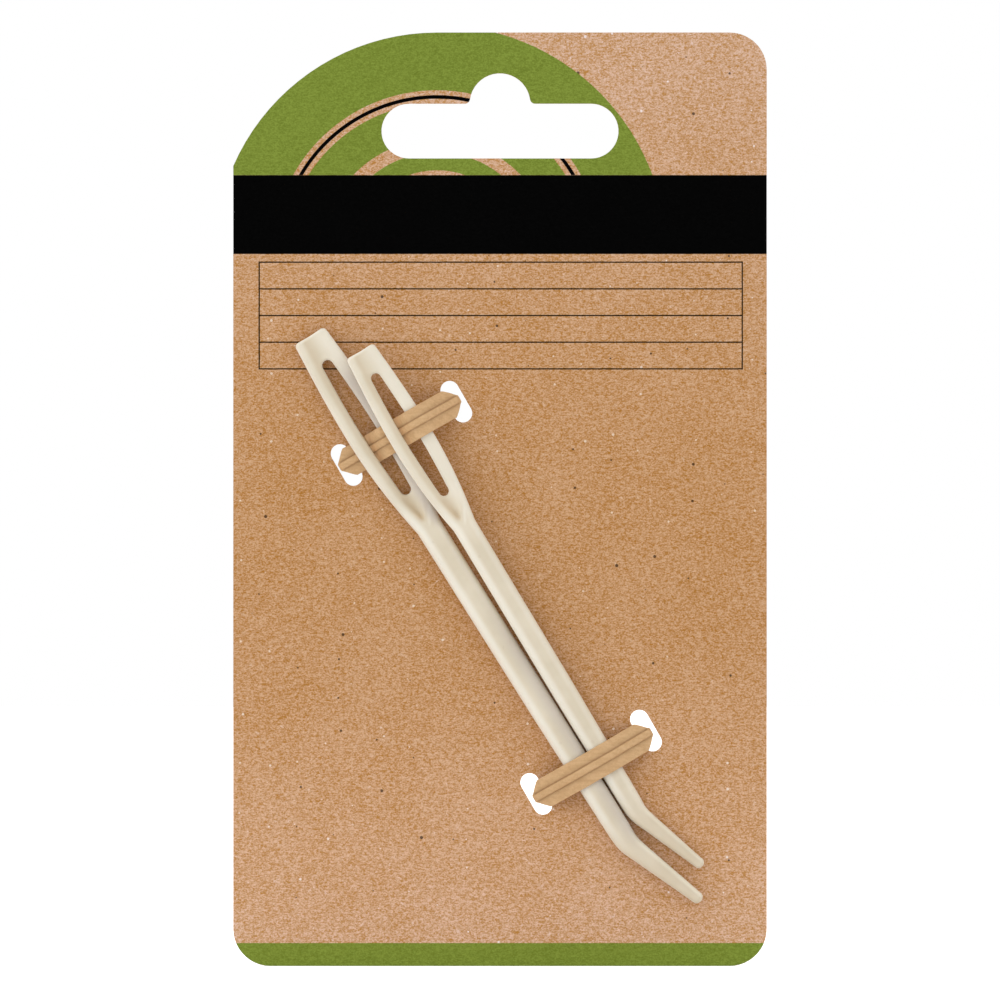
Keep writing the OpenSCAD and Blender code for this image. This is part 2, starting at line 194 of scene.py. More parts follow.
def mesh_object(name, points, faces, material, sharp, **numbers):
    """A piece from points and faces. Numbers, one a point, go to its material by name."""
    mesh = bpy.data.meshes.new(name)
    mesh.from_pydata([tuple(p) for p in points], [], faces)
    for key, values in numbers.items():
        layer = mesh.attributes.new(key, "FLOAT", "POINT")
        layer.data.foreach_set("value", [float(v) for v in values])
    work = bmesh.new()
    work.from_mesh(mesh)
    bmesh.ops.remove_doubles(work, verts=work.verts, dist=WELD)
    bmesh.ops.recalc_face_normals(work, faces=work.faces)
    work.to_mesh(mesh)
    work.free()
    mesh.shade_smooth()
    mesh.set_sharp_from_angle(angle=math.radians(sharp))
    piece = bpy.data.objects.new(name, mesh)
    bpy.context.collection.objects.link(piece)
    mesh.materials.append(material)
    return piece


class Nodes:
    """A small helper that builds a node tree."""

    def __init__(self, tree):
        self.tree = tree

    def join(self, socket, source):
        """Feeds a socket from another node, or sets its value."""
        if isinstance(source, bpy.types.NodeSocket):
            self.tree.links.new(source, socket)
        else:
            socket.default_value = source

    def node(self, kind, inputs=None, **settings):
        made = self.tree.nodes.new(kind)
        for key, value in settings.items():
            setattr(made, key, value)
        for key, source in (inputs or {}).items():
            self.join(made.inputs[key], source)
        return made

    def math(self, operation, a, b=0.0, clamp=False):
        return self.node(
            "ShaderNodeMath", {0: a, 1: b}, operation=operation, use_clamp=clamp,
        ).outputs[0]

    def plus(self, a, b):
        return self.math("ADD", a, b)

    def minus(self, a, b):
        return self.math("SUBTRACT", a, b)

    def times(self, a, b, clamp=False):
        return self.math("MULTIPLY", a, b, clamp)

    def most(self, *masks):
        """The greatest of some masks at each place."""
        whole = masks[0]
        for mask in masks[1:]:
            whole = self.math("MAXIMUM", whole, mask)
        return whole

    def map(self, value, low, high, to_low=0.0, to_high=1.0, how="SMOOTHSTEP"):
        """From to_low to to_high while the value goes from low to high, and no further."""
        return self.node("ShaderNodeMapRange", {
            "Value": value, "From Min": low, "From Max": high,
            "To Min": to_low, "To Max": to_high,
        }, interpolation_type=how).outputs["Result"]

    def blend(self, share, a, b, how="MIX"):
        return self.node(
            "ShaderNodeMix", {0: share, 6: a, 7: b}, data_type="RGBA", blend_type=how,
        ).outputs[2]

    def tint(self, colour, by, share=1.0):
        return self.blend(share, colour, by, "MULTIPLY")

    def coordinates(self, kind="Object"):
        return self.node("ShaderNodeTexCoord").outputs[kind]

    def split(self, vector):
        return self.node("ShaderNodeSeparateXYZ", {0: vector}).outputs

    def stretched(self, vector, scale, turn=(0, 0, 0)):
        return self.node("ShaderNodeMapping", {
            "Vector": vector, "Scale": scale, "Rotation": turn,
        }).outputs[0]

    def noise(self, vector, scale, detail=2.0, roughness=0.5, distortion=0.0):
        return self.node("ShaderNodeTexNoise", {
            "Vector": vector, "Scale": scale, "Detail": detail,
            "Roughness": roughness, "Distortion": distortion,
        }).outputs["Fac"]

    def carried(self, name):
        """A number that a piece's mesh carries at each point."""
        return self.node("ShaderNodeAttribute", attribute_name=name).outputs["Fac"]

    def bump(self, height, strength, distance):
        return self.node("ShaderNodeBump", {
            "Height": height, "Strength": strength, "Distance": distance,
        }).outputs[0]


def empty_material(name):
    material = bpy.data.materials.new(name)
    material.use_nodes = True
    material.node_tree.nodes.clear()
    return material


class Surface(Nodes):
    """The nodes of a material that has one Principled shader."""

    def __init__(self, name):
        self.material = empty_material(name)
        super().__init__(self.material.node_tree)
        self.shader = self.node("ShaderNodeBsdfPrincipled")
        self.node("ShaderNodeOutputMaterial", {"Surface": self.shader.outputs[0]})

    def give(self, name, source):
        self.join(self.shader.inputs[name], source)


# Kraft pulp: its colours, and tints that multiply them
KRAFT_PALE = srgb(215, 176, 143)
KRAFT_DARK = srgb(174, 119, 51)
KRAFT_LIGHT = srgb(232, 206, 184)
SPECK_PALE = srgb(240, 226, 208)
SPECK_DARK = srgb(66, 47, 36)
KRAFT_WARM = (1.0, 0.93, 0.80, 1.0)
KRAFT_COOL = (0.96, 1.0, 1.0, 1.0)

# The board is a little rosier toward the card's top and bottom than round its middle.
ROSY_MIDDLE_Z = -56.0
ROSY_REACH = 57.0
ROSY_NONE = (0.977, 0.95, 0.906, 1.0)
ROSY_FULL = (1.095, 1.18, 1.46, 1.0)

# Painted light: the whole printed front is painted a little paler toward the card's foot.
FOOT_LIGHT_Z = (-114.0, -62.0)
FOOT_LIGHT_NONE = (1.0, 1.0, 1.0, 1.0)
FOOT_LIGHT_FULL = (1.08, 1.08, 1.08, 1.0)

# Specks lie one to a cell: cells to the metre, the largest radius as a share of a cell, and
# how well a speck covers
PALE_SPECKS = (260, 0.05, 0.7)
DARK_SPECKS = (190, 0.045, 0.85)
SPECK_EDGE = 250.0


def specks(n, place, per_metre, largest, cover):
    """Round specks scattered over the plane X, Z, most of them very small."""
    axes = n.split(place)
    cells = n.node("ShaderNodeTexVoronoi", {
        "Vector": n.node("ShaderNodeCombineXYZ", {0: axes[0], 1: axes[2]}).outputs[0],
        "Scale": per_metre,
    }, voronoi_dimensions="2D")
    chance = n.node("ShaderNodeSeparateColor", {0: cells.outputs["Color"]}).outputs[0]
    radius = n.times(n.math("POWER", chance, 3.0), largest)
    inside = n.minus(radius, cells.outputs["Distance"])
    return n.times(n.times(inside, SPECK_EDGE, clamp=True), cover)


def kraft_colour(n, place, height):
    """Kraft pulp: fine grain, short fibres lying mostly across, faint clouds and a few specks.
    Its colour comes with its tone, which is high where the pulp is pale."""
    along = n.stretched(place, scale=(0.8, 1, 1))
    grain = n.noise(along, scale=6200, roughness=0.65)
    lying = n.stretched(place, scale=(0.45, 1, 1.2), turn=(0, 0.3, 0))
    fibres = n.noise(lying, scale=3600, roughness=0.55, distortion=0.8)
    cloud = n.noise(place, scale=90, detail=3.0, roughness=0.55)
    tone = n.plus(n.times(grain, 0.6), n.times(fibres, 0.4))
    tone = n.plus(tone, n.times(n.minus(cloud, 0.5), 0.08))
    colour = n.blend(n.map(tone, 0.35, 0.65), KRAFT_DARK, KRAFT_PALE)

    slanting = n.stretched(place, scale=(1, 1, 1), turn=(0, 0.9, 0))
    hue = n.map(n.noise(slanting, scale=4300, roughness=0.6), 0.36, 0.64)
    colour = n.tint(colour, n.blend(hue, KRAFT_WARM, KRAFT_COOL), share=0.5)
    light = n.map(n.noise(along, scale=2300, roughness=0.6), 0.64, 0.76)
    colour = n.blend(n.times(light, 0.5), colour, KRAFT_LIGHT)
    colour = n.blend(specks(n, place, *PALE_SPECKS), colour, SPECK_PALE)
    colour = n.blend(specks(n, place, *DARK_SPECKS), colour, SPECK_DARK)

    away = n.minus(n.math("DIVIDE", height, ROSY_REACH * MM), ROSY_MIDDLE_Z / ROSY_REACH)
    colour = n.tint(colour, n.blend(n.times(away, away), ROSY_NONE, ROSY_FULL))
    return colour, tone


# The printed front, in millimetres from the hang slot's centre
BAND = (-20.3, -9.65)
TABLE_X = (-32.5, 32.7)
TABLE_ROWS = (-21.4, -25.0, -28.6, -32.2, -35.8)
RULE_W = 0.19
FOOT_TOP = -113.3
ARCH_RINGS = ((22.2, 31.0), (15.6, 20.4), (11.4, 13.8))
ARCH_LINE = (21.05, 21.55)

# Half the soft width of a band's and of a rule's edge, and the span in which edges wander
PRINT_SOFT = 0.03
RULE_SOFT = 0.02
PRINT_WANDER = 0.07

# Inks and cut edges, each in its darker and its paler colour
GREEN = (srgb(108, 124, 44), srgb(132, 150, 62))
BLACK = (srgb(0, 0, 0), srgb(4, 4, 4))
RULE_COVER = 0.95
CUT_EDGE = (srgb(170, 128, 88), srgb(205, 168, 128))


def above(n, value, edge, soft=PRINT_SOFT):
    """1 above an edge given in millimetres, 0 below it, for a value in metres."""
    return n.map(value, (edge - soft) * MM, (edge + soft) * MM)


def below(n, value, edge, soft=PRINT_SOFT):
    return n.map(value, (edge - soft) * MM, (edge + soft) * MM, 1.0, 0.0)


def stripe(n, value, low, high, soft=PRINT_SOFT):
    """1 between two edges."""
    return n.times(above(n, value, low, soft), below(n, value, high, soft))


def rule(n, value, at):
    return stripe(n, value, at - RULE_W / 2, at + RULE_W / 2, RULE_SOFT)


def printed_masks(n, place, across, height):
    """Where the green and the black ink lie, each from 0 to 1."""
    wander = n.times(n.minus(n.noise(place, scale=2200, roughness=0.6), 0.5), PRINT_WANDER * MM)
    x = n.plus(across, wander)
    z = n.plus(height, wander)
    reach = n.math("SQRT", n.plus(
        n.math("POWER", n.minus(x, BIG_CORNER_X * MM), 2.0),
        n.math("POWER", n.minus(z, BIG_CORNER_Z * MM), 2.0),
    ))
    over_band = above(n, z, BAND[1])
    arch = n.most(*[stripe(n, reach, low, high) for low, high in ARCH_RINGS])
    green = n.most(n.times(arch, over_band), below(n, z, FOOT_TOP))

    width = stripe(n, x, TABLE_X[0] - RULE_W / 2, TABLE_X[1] + RULE_W / 2, RULE_SOFT)
    rows = n.times(n.most(*[rule(n, z, row) for row in TABLE_ROWS]), width)
    posts = n.times(n.most(*[rule(n, x, edge) for edge in TABLE_X]),
                    stripe(n, z, TABLE_ROWS[-1], TABLE_ROWS[0], RULE_SOFT))
    rules = n.times(n.most(rows, posts), RULE_COVER)
    line = n.times(stripe(n, reach, *ARCH_LINE), over_band)
    return green, n.most(stripe(n, z, *BAND), line, rules)


def card_material():
    """Kraft board, printed on its front, with the pulp's layers showing in its cut edges."""
    n = Surface("kraft_board")
    place = n.coordinates()
    across, _, height = n.split(place)
    outward = n.split(n.coordinates("Normal"))[1]
    kraft, tone = kraft_colour(n, place, height)
    green, black = printed_masks(n, place, across, height)

    printed = n.blend(green, kraft, n.blend(n.map(tone, 0.36, 0.64), *GREEN))
    # Painted light, a little paler toward the card's foot
    lift = n.map(height, FOOT_LIGHT_Z[0] * MM, FOOT_LIGHT_Z[1] * MM)
    printed = n.tint(printed, n.blend(lift, FOOT_LIGHT_FULL, FOOT_LIGHT_NONE))
    printed = n.blend(black, printed, n.blend(n.map(tone, 0.3, 0.7), *BLACK))

    on_face = n.map(n.math("ABSOLUTE", outward), 0.6, 0.8)
    layers = n.noise(n.stretched(place, scale=(0.5, 9, 0.5)), scale=1500, roughness=0.6)
    bare = n.blend(on_face, n.blend(n.map(layers, 0.3, 0.7), *CUT_EDGE), kraft)
    on_front = n.map(outward, -0.9, -0.7, 1.0, 0.0)
    n.give("Base Color", n.blend(on_front, bare, printed))

    inked = n.times(n.most(green, black), on_front)
    n.give("Roughness", n.map(inked, 0.0, 1.0, 0.9, 0.7))
    n.give("Specular IOR Level", 0.02)
    n.give("Normal", n.bump(tone, strength=0.35, distance=0.06 * MM))
    return n.material


PAPER = (srgb(198, 159, 114), srgb(214, 177, 133))
# Painted light: the paper's colour at the shaded foot of each steep climb
PAPER_PAINTED_LIGHT = srgb(246, 205, 156)
PAPER_CREASE_SHADE = srgb(138, 104, 68)
CREASE_SHADE_SHARE = 0.62


def paper_material():
    """Smooth kraft paper, with painted shade that darkens the creases beside the wire, where its
    tone is 1, and painted light that makes it paler where its climb is 1, at the shaded foot of
    each steep climb."""
    n = Surface("kraft_paper")
    place = n.coordinates()
    lying = n.stretched(place, scale=(0.12, 1, 1), turn=(0, math.radians(TIE_ANGLE), 0))
    fibres = n.noise(lying, scale=2600, roughness=0.55)
    grain = n.noise(place, scale=4200, roughness=0.6)
    tone = n.plus(n.times(fibres, 0.6), n.times(grain, 0.4))
    colour = n.blend(n.map(tone, 0.3, 0.7), *PAPER)
    # Painted light at the shaded foot of each steep climb
    colour = n.blend(n.carried("climb"), colour, PAPER_PAINTED_LIGHT)
    # Painted shade, darker in the creases beside the wire
    crease = n.times(n.carried("tone"), CREASE_SHADE_SHARE)
    n.give("Base Color", n.blend(crease, colour, PAPER_CREASE_SHADE))
    n.give("Roughness", 0.7)
    n.give("Specular IOR Level", 0.2)
    n.give("Normal", n.bump(tone, strength=0.25, distance=0.04 * MM))
    return n.material


PLASTIC = (srgb(218, 206, 182), srgb(226, 215, 193))
PLASTIC_PAINTED_LIGHT = srgb(245, 241, 229)
PLASTIC_PAINTED_SHADE = srgb(196, 170, 132)
PLASTIC_SHADED = srgb(192, 181, 171)
PLASTIC_SPECK = srgb(176, 158, 128)


def plastic_material():
    """Ivory plastic, with painted light that makes it paler at its rims, where its tone is 1,
    painted shade that makes it tanner in its hollows, where the tone is below 0, and a painted
    shadow that makes it greyer where its shade is above 0."""
    n = Surface("needle_plastic")
    place = n.coordinates()
    cloud = n.noise(place, scale=160, detail=3.0, roughness=0.55)
    fine = n.noise(place, scale=2400)
    tone = n.carried("tone")
    colour = n.blend(n.map(cloud, 0.35, 0.65), *PLASTIC)
    # Painted light: paler at the rims, edges and blunt end
    colour = n.blend(tone, colour, PLASTIC_PAINTED_LIGHT)
    # Painted shade: tanner in the trough's left wall and in the groove
    colour = n.blend(n.times(tone, -1.0, clamp=True), colour, PLASTIC_PAINTED_SHADE)
    # Painted shadow: greyer beside the small needle
    colour = n.blend(n.carried("shade"), colour, PLASTIC_SHADED)
    speck = n.map(n.noise(place, scale=900, detail=1.0), 0.74, 0.78)
    n.give("Base Color", n.blend(n.times(speck, 0.12), colour, PLASTIC_SPECK))
    n.give("Roughness", n.map(fine, 0.3, 0.7, 0.4, 0.5))
    n.give("IOR", 1.46)
    n.give("Subsurface Weight", 0.12)
    n.give("Subsurface Radius", (1.0, 0.8, 0.6))
    n.give("Subsurface Scale", 0.6 * MM)
    n.give("Normal", n.bump(fine, strength=0.1, distance=0.02 * MM))
    return n.material


STEEL = (srgb(120, 120, 122), srgb(178, 178, 180))


def steel_material():
    n = Surface("tie_wire")
    grain = n.noise(n.coordinates(), scale=3000, roughness=0.6)
    n.give("Base Color", n.blend(grain, *STEEL))
    n.give("Metallic", 1.0)
    n.give("Roughness", n.map(grain, 0.3, 0.7, 0.3, 0.48))
    return n.material


# The needle, from its blunt end along x, half of it at a time
BEND_START = BEND_X - BEND_R * math.tan(math.radians(BEND_ANGLE / 2))
BEND_RUN = BEND_R * math.radians(BEND_ANGLE)
BEND_STOP = BEND_START + BEND_RUN
NECK_CURVE = 1.9
NECK_DEPTH_RUN = 10.0
TAPER_X = BEND_X - 21.0
TAPER_SPREAD = np.linspace(-1.5, 1.5, 7)
THIN_X = BEND_X - 6.0
TIP_ROUND = TIP_W * 0.45
TIP_FLAT = 0.15


def head_half(x):
    wide = mix(HEAD_W, EYE_BODY_W, np.sin(np.pi / 2 * np.minimum(x / WIDEST_X, 1))) / 2
    neck = mix(EYE_BODY_W, SHAFT_W, ramp(x, WIDEST_X, NECK_X) ** NECK_CURVE) / 2
    return np.where(x < WIDEST_X, wide, neck)


def shaft_half(x):
    at = [NECK_X, TAPER_X, BEND_START, BEND_STOP, NEEDLE_LEN]
    size = [SHAFT_W, SHAFT_W, BEND_W, BEND_END_W, TIP_W]
    return np.mean([np.interp(x + s, at, size) for s in TAPER_SPREAD], axis=0) / 2


def end_inset(x, radius):
    """How far a rounded edge of the blunt end lies inside the full outline."""
    d = np.maximum(radius - x, 0)
    return radius - np.sqrt(radius ** 2 - d * d)


def end_share(x):
    """1 along the needle, narrowing over the rounded tip."""
    d = ramp(x, NEEDLE_LEN - TIP_ROUND, NEEDLE_LEN)
    return np.sqrt(np.maximum(1 - d * d, TIP_FLAT ** 2))


def half_width(x):
    shape = np.where(x < NECK_X, head_half(x), shaft_half(np.maximum(x, NECK_X)))
    return (shape - end_inset(x, HEAD_ROUND)) * end_share(x)


def half_depth(x):
    thick = mix(BAR_T, SHAFT_T, rise(x, EYE_END, NECK_DEPTH_RUN))
    thick = mix(thick, TIP_T, rise(x, THIN_X, NEEDLE_LEN - THIN_X))
    return (thick / 2 - end_inset(x, HEAD_FACE_ROUND) / 2) * end_share(x)


# The trough keeps off the head's edge, and the groove deepens before the eye's end, narrows,
# and holds and fades over shares of its length.
TROUGH_MARGIN = 0.75
GROOVE_END_HALF = 0.3
GROOVE_DEEPENS = 4.0
GROOVE_HOLDS = 0.62
GROOVE_FADES = 0.36


def trough(x, y):
    """Depth of the trough along the head and of the thread groove below the eye."""
    side = half_width(np.minimum(x, EYE_END)) - TROUGH_MARGIN
    narrowing = mix(side, GROOVE_END_HALF, rise(x, EYE_END, GROOVE_LEN))
    side = np.where(x < EYE_END, side, narrowing)
    deep = mix(TROUGH, GROOVE, rise(x, EYE_END - GROOVE_DEEPENS, GROOVE_DEEPENS))
    deep = deep * fade(x, EYE_END + GROOVE_LEN * GROOVE_HOLDS, GROOVE_LEN * GROOVE_FADES)
    return deep * np.cos(np.pi / 2 * np.clip(y / side, -1, 1)) ** 2


EYE_END_R = EYE_END_W / 2
EYE_NEAR = EYE_WALL + EYE_END_R
EYE_FAR = EYE_END - EYE_END_R


def eye_side(x):
    return mix(EYE_END_W, EYE_W, np.sin(np.pi * ramp(x, EYE_NEAR, EYE_FAR))) / 2


def eye_distance(x, y):
    """Distance from the eye's outline, positive outside it."""
    near = np.clip(x, EYE_NEAR, EYE_FAR)
    return np.hypot(x - near, y) - eye_side(near)


def eye_half(x):
    past = np.abs(x - np.clip(x, EYE_NEAR, EYE_FAR))
    ends = np.sqrt(np.maximum(EYE_END_R ** 2 - past ** 2, 0))
    return np.where(past > 0, ends, eye_side(x))


def rim_drop(d):
    """How far the rounded rim lies below the face at a distance from the eye."""
    d = np.clip(d, 0, RIM_R)
    return RIM_R - np.sqrt(np.maximum(RIM_R ** 2 - (RIM_R - d) ** 2, 0))


# Tones of the plastic, which are painted light and shade, from 1 at its palest, with painted
# highlights, through 0 to -1 at its tannest, in painted shade. The head goes from the first of
# its two in the trough's left wall, in painted shade, to the second in the right one.
HEAD_TONES = (-0.3, 0.42)
HEAD_RIM_TONE = 0.22
HEAD_EDGE_HIGHLIGHT = 0.5
RIGHT_EDGE_SHARE = 0.4
SHAFT_LEFT = 0.66
SHAFT_RIGHT = 0.25
TIP_LEFT = 0.5
TIP_RIGHT = 0.3
TIP_BASE = -0.12
GROOVE_SHADE = (0.4, 0.8)
GROOVE_HIGHLIGHT = 0.4
EYE_RIM_HIGHLIGHT = 0.4
EYE_WALL_TONE = 0.3
BLUNT_END_TONE = 0.5

# Where the small needle lies beside the large one's shaft, and how dark the painted shadow it
# casts there is
BESIDE_X = 40.0
BESIDE_RUN = 12.0
HEAD_SHADE = 0.75
SHAFT_SHADE = 0.7


def groove_tone(x, y):
    """Painted shade in tan over the thread groove, darkest left of its middle, with a painted
    highlight, a lit streak that crosses it toward its end. Its distances run from the eye's end."""
    run = x - EYE_END
    share = ramp(run, 1.0, 4.0)
    middle = mix(-0.75, -0.2, share)
    spread = np.where(y < middle, 0.4, mix(1.0, 0.5, share))
    dark = mix(*GROOVE_SHADE, share) * np.exp(-((y - middle) / spread) ** 2)
    streak = np.exp(-((y - 1.07 + 0.49 * (run - 3.4)) / 0.24) ** 2)
    painted_highlight = GROOVE_HIGHLIGHT * rise(run, 2.2, 1.4) * fade(run, 4.6, 0.9) * streak
    return painted_highlight - rise(run, -0.6, 1.6) * fade(run, 3.5, 1.1) * dark


def painted_light_and_shade(x, y, half, under_small):
    """The tone of the plastic, which is painted light and shade: paler at its left rim and right
    half, with painted highlights along its edges, round the eye and at the blunt end, and tan, as
    painted shade, in the trough's left wall and in the groove."""
    inward = half - np.abs(y)
    left = y < 0
    valley = mix(*HEAD_TONES, ramp(y, -0.95, 1.4))
    head = np.where(left, mix(valley, HEAD_RIM_TONE, fade(inward, 0.75, 0.75)), valley)
    head = head + HEAD_EDGE_HIGHLIGHT * fade(inward, 0, 0.3) * np.where(left, 1.0, RIGHT_EDGE_SHARE)
    right = SHAFT_RIGHT * fade(inward, 0.6, 0.6)
    if under_small:
        right = right * fade(x, BESIDE_X, BESIDE_RUN)
    shaft = np.where(left, SHAFT_LEFT * fade(inward, 0.7, 0.85), right)
    tip = np.where(left, TIP_LEFT * fade(inward, 0, 0.25), TIP_RIGHT * fade(inward, 0.25, 0.4))
    tone = mix(head, shaft, rise(x, EYE_END - 0.7, 5.2))
    tone = mix(tone, tip + TIP_BASE, rise(x, BEND_X - 5.0, 7.0))
    tone = tone + groove_tone(x, y)
    tone = tone + EYE_RIM_HIGHLIGHT * fade(eye_distance(x, np.abs(y)), 0, 0.16)
    return mix(tone, np.maximum(tone, BLUNT_END_TONE), fade(x, 0, 0.5))


def shading(x, y, under_small):
    """How far the plastic is greyed by a painted shadow: the large needle's right half, beside the
    small one.
    """
    if not under_small:
        return 0 * y
    head = HEAD_SHADE * rise(x, 4.0, 5.0) * fade(x, 29.0, 3.0) * rise(y, 0.2, 1.3)
    beside = rise(x, BESIDE_X, BESIDE_RUN) * fade(x, BEND_X - 2.0, 5.0)
    return head + SHAFT_SHADE * beside * ramp(y, -0.3, 1.3)


# How finely the needle's section is cut, and how far its round side reaches in
RIM_STEPS = np.array([0, 0.012, 0.04, 0.09, 0.15, 0.22, 0.3])
RIM_ROOM = 0.6
FACE_STEPS = 8
ARC_STEPS = 8
WALL_STEPS = 4
ARC_OF_DEPTH = 0.86
ARC_OF_WIDTH = 0.62

# Stations that are this close to an end of the eye count as lying there.
SAME = 1e-9


def half_section(x, side, under_small):
    """One side of the needle's section, from the middle of its face round to its back: the
    distance across, the height, the tone of painted light and shade, and the painted shadow of
    each point."""
    w, h = half_width(x), half_depth(x)
    r = min(h * ARC_OF_DEPTH, w * ARC_OF_WIDTH)
    flat = w - r
    inner = eye_half(x) if EYE_WALL < x < EYE_END else 0.0
    rim = inner + RIM_STEPS * min(1.0, (flat - inner) / RIM_ROOM)
    face = np.concatenate([rim, mix(rim[-1], flat, np.linspace(0, 1, FACE_STEPS + 1)[1:])])
    height = h - trough(x, face) - rim_drop(eye_distance(x, face))
    angles = np.radians(np.linspace(90, 0, ARC_STEPS + 1)[1:])
    arc_y = flat + r * np.cos(angles)
    arc_z = h - r + r * np.sin(angles)
    arc_y[-1] += SEAM * min(1.0, h)
    across = np.concatenate([face, arc_y])
    # Painted light and shade at each point
    pale = painted_light_and_shade(x, side * across, w, under_small)
    # The small needle's painted shadow on the large one
    shade = shading(x, side * across, under_small)
    top = np.column_stack([across, np.concatenate([height, arc_z]), pale, shade])
    under = top[::-1][1:] * [1, -1, 1, 1]
    return np.vstack([top, under])


def along(run):
    """Place on the needle's middle line, with its heading."""
    turn = ramp(run, BEND_START, BEND_STOP) * math.radians(BEND_ANGLE)
    rest = np.maximum(run - BEND_STOP, 0)
    before = np.minimum(run, BEND_START)
    x = before + BEND_R * np.sin(turn) + rest * np.cos(turn)
    y = BEND_R * (1 - np.cos(turn)) + rest * np.sin(turn)
    return x, y, turn


def needle_stations():
    """Where the needle's sections lie, closer together where its shape changes quickly."""
    def evenly(a, b, n):
        return list(np.linspace(a, b, n, endpoint=False))
    curve = 1 - np.cos(np.linspace(0, np.pi / 2, 12))
    near = EYE_WALL + EYE_END_R * curve
    return np.array(
        [0, 0.02, 0.05, 0.1, 0.16, 0.24, 0.32, 0.4, 0.48, 0.56]
        + evenly(HEAD_ROUND, EYE_WALL - RIM_R, 12)
        + list(EYE_WALL - RIM_STEPS[::-1][:-1])
        + list(near)
        + evenly(near[-1] + 0.3, EYE_FAR - 0.1, 48)
        + list(EYE_END - EYE_END_R * curve[::-1])
        + list(EYE_END + RIM_STEPS[1:])
        + evenly(EYE_END + RIM_R + 0.15, NECK_X + 2, 30)
        + evenly(NECK_X + 2, BEND_START - 2, 36)
        + evenly(BEND_START - 2, BEND_STOP + 2, 18)
        + evenly(BEND_STOP + 2, NEEDLE_LEN - TIP_ROUND, 12)
        + [NEEDLE_LEN - TIP_ROUND * (1 - math.sin(a)) for a in np.linspace(0, 1.42, 12)]
        + [NEEDLE_LEN]
    )


def needle_half(side, under_small):
    """Points, faces, tones and shades of the needle's right half, side 1, or left, side -1,
    and which points lie at its two ends."""
    stations = needle_stations()
    points, faces, tones, shades = [], [], [], []
    for run in stations:
        section = half_section(run, side, under_small)
        x, y, turn = along(run)
        dish = HEAD_HOLLOW * (1 - (section[:, 0] / (HEAD_W / 2)) ** 2) * fade(run, 0, HOLLOW_REACH)
        off = side * section[:, 0]
        points += list(np.column_stack([
            x + dish - off * math.sin(turn), y + off * math.cos(turn), section[:, 1],
        ]))
        tones += list(section[:, 2])
        shades += list(section[:, 3])

    count = len(section)
    for i in range(len(stations) - 1):
        starts = i * count, (i + 1) * count
        for j in range(count - 1):
            a, b = starts[0] + j, starts[1] + j
            faces.append((a, a + 1, b + 1, b))
        if EYE_WALL - SAME <= stations[i] and stations[i + 1] <= EYE_END + SAME:
            walls = []
            for start in starts:
                top, low = points[start], points[start + count - 1]
                walls.append([start, *range(len(points), len(points) + WALL_STEPS - 1),
                              start + count - 1])
                points += [mix(top, low, k / WALL_STEPS) for k in range(1, WALL_STEPS)]
                tones += [EYE_WALL_TONE] * (WALL_STEPS - 1)
                shades += [shades[start]] * (WALL_STEPS - 1)
            one, two = walls
            faces += [(one[k], two[k], two[k + 1], one[k + 1]) for k in range(WALL_STEPS)]

    last = (len(stations) - 1) * count
    return points, faces, tones, shades, (range(count), range(last, last + count))


def needle_piece(name, material):
    cross, height, angle, slope, tie_at, share = NEEDLES[name]
    points, faces, tones, shades, ends = needle_half(1, name == "large_needle")
    left_from = len(points)
    left = needle_half(-1, name == "large_needle")
    points, tones, shades = points + left[0], tones + left[2], shades + left[3]
    faces += [tuple(left_from + i for i in face) for face in left[1]]
    for end in ends:
        for j in range(len(end) // 2):
            for first in (0, left_from):
                a, b = first + end[j], first + end[-1 - j]
                faces.append((a, a + 1, b - 1, b))
    place = (
        Matrix.Translation((
            UPPER_TIE[0] + cross * math.cos(math.radians(TIE_ANGLE)),
            UPPER_TIE[1] + cross * math.sin(math.radians(TIE_ANGLE)),
            height,
        ))
        @ Matrix.Rotation(math.radians(-angle), 4, "Z")
        @ Matrix.Rotation(math.radians(slope), 4, "Y")
        @ Matrix.Translation((-tie_at, 0, 0))
        @ Matrix.Scale(share, 4)
    )
    # Each point carries its painted light and shade, and its painted shadow, to the material
    return mesh_object(name + "_moulding", in_metres(points, place), faces, material,
                       NEEDLE_SHARP, tone=tones, shade=shades)


# The twist ties. A frame on a path is [middle, normal, side, half width of the paper].
SLOT_PASS = TIE_SPAN / 2 + 0.35
FOLD_LEN = 1.4
FOLD_PAST = 0.1
FOLD_HASTE = 0.2
STRAND_R = RIDGE_H + 0.04
TAIL_ROOT_Z = -LOW_TIE_Z - TIE_BEND_R
TAIL_STEP = 0.22
CORNER_STEPS = 7
PATH_STEP = 0.3
NEARLY = 0.01


def heading(a):
    return np.array([math.cos(a), math.sin(a)])


def corner(a, b, c, r):
    """Points of the arc that rounds the corner b between a and c, each with its heading."""
    into = math.atan2(b[1] - a[1], b[0] - a[0])
    out = math.atan2(c[1] - b[1], c[0] - b[0])
    turn = (out - into + 3 * math.pi) % (2 * math.pi) - math.pi
    way = 1 if turn > 0 else -1
    start = b - heading(into) * r * math.tan(abs(turn) / 2)
    centre = start + heading(into + way * math.pi / 2) * r
    angles = into + turn * np.linspace(0, 1, CORNER_STEPS + 1)
    return [(centre - heading(t + way * math.pi / 2) * r, t) for t in angles]


def bent_path(points):
    """Arcs at the corners, softer between the slots, and even points on the straights."""
    arcs = []
    for i in range(1, len(points) - 1):
        x, z = points[i]
        between = z > LOW_TIE_Z - NEARLY and abs(x) < SLOT_PASS - NEARLY
        radius = TIE_SOFT_R if between else TIE_BEND_R
        arcs.append(corner(*[np.array(p, float) for p in points[i - 1:i + 2]], radius))
    path = list(arcs[0])
    for arc in arcs[1:]:
        a, b = path[-1][0], arc[0][0]
        steps = max(1, round(np.linalg.norm(b - a) / PATH_STEP))
        path += [(mix(a, b, k / steps), path[-1][1]) for k in range(1, steps)]
        path += arc
    return path


